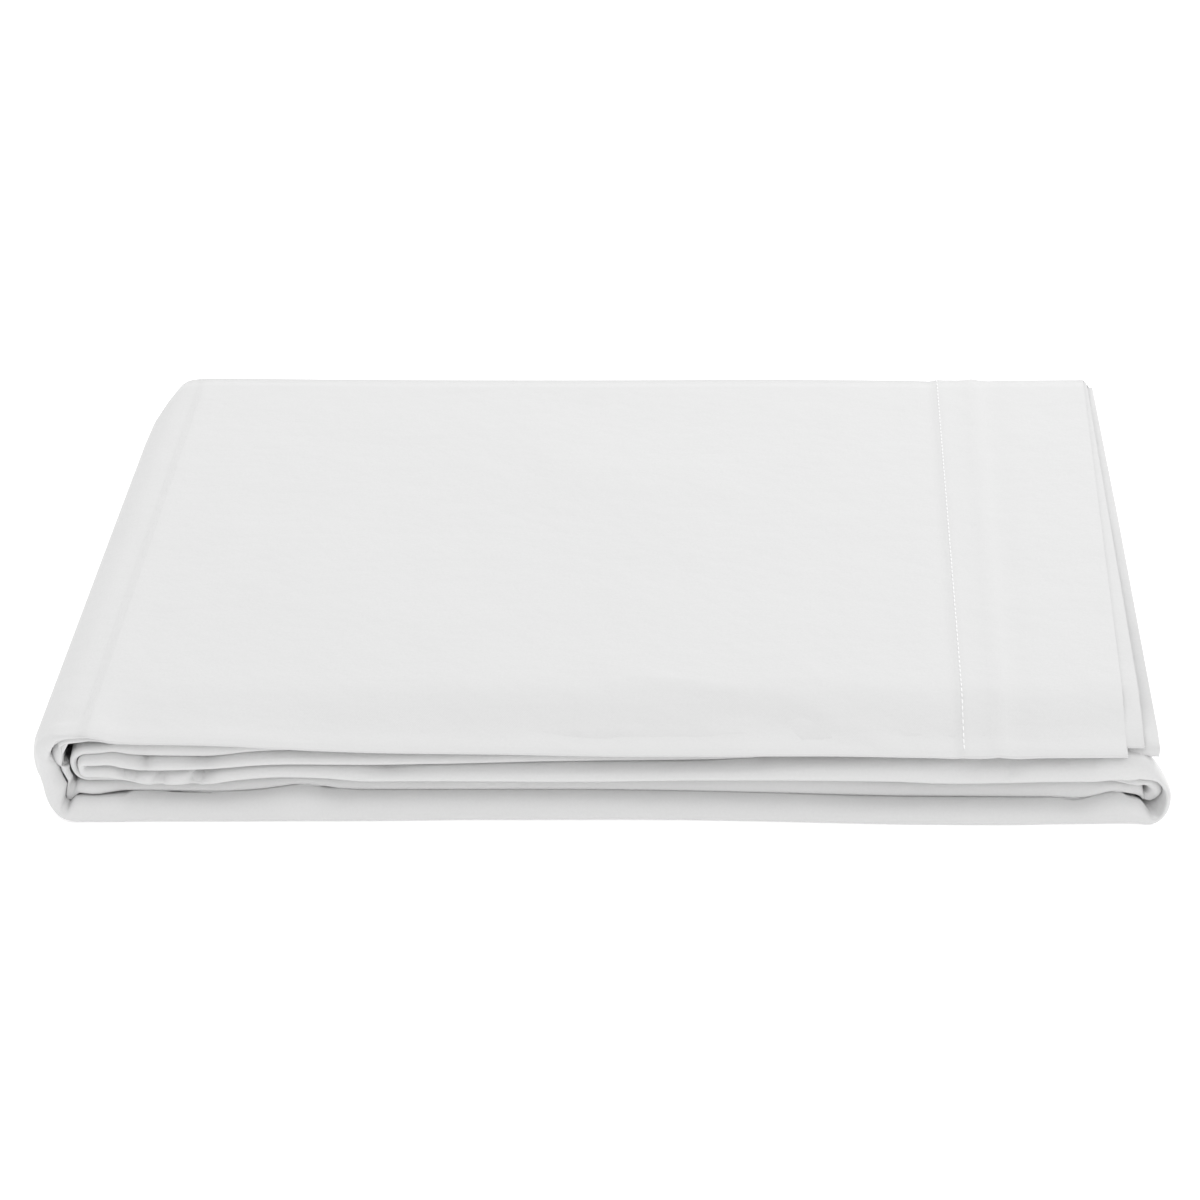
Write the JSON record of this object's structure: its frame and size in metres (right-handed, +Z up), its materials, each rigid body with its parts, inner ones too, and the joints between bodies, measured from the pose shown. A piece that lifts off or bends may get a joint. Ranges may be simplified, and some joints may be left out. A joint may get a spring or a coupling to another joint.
{
  "type": "folded flat sheet",
  "caption": "White flat bed sheet folded into a strip and then into a flat rectangular bundle, closed folds to the front and the hemmed end on top.",
  "frame": {"origin": "centre of the bundle's box on the surface it rests on", "axes": "+X along the folded strip towards the hemmed end of the flap, +Y from the closed front folds to the open back, +Z up"},
  "size_m": [0.3546, 0.276, 0.0306],
  "materials": {
    "cloth": "matte plain-woven cotton, pressed"
  },
  "bodies": {
    "root": {"folded_sheet": "cloth"}
  },
  "joints": []
}
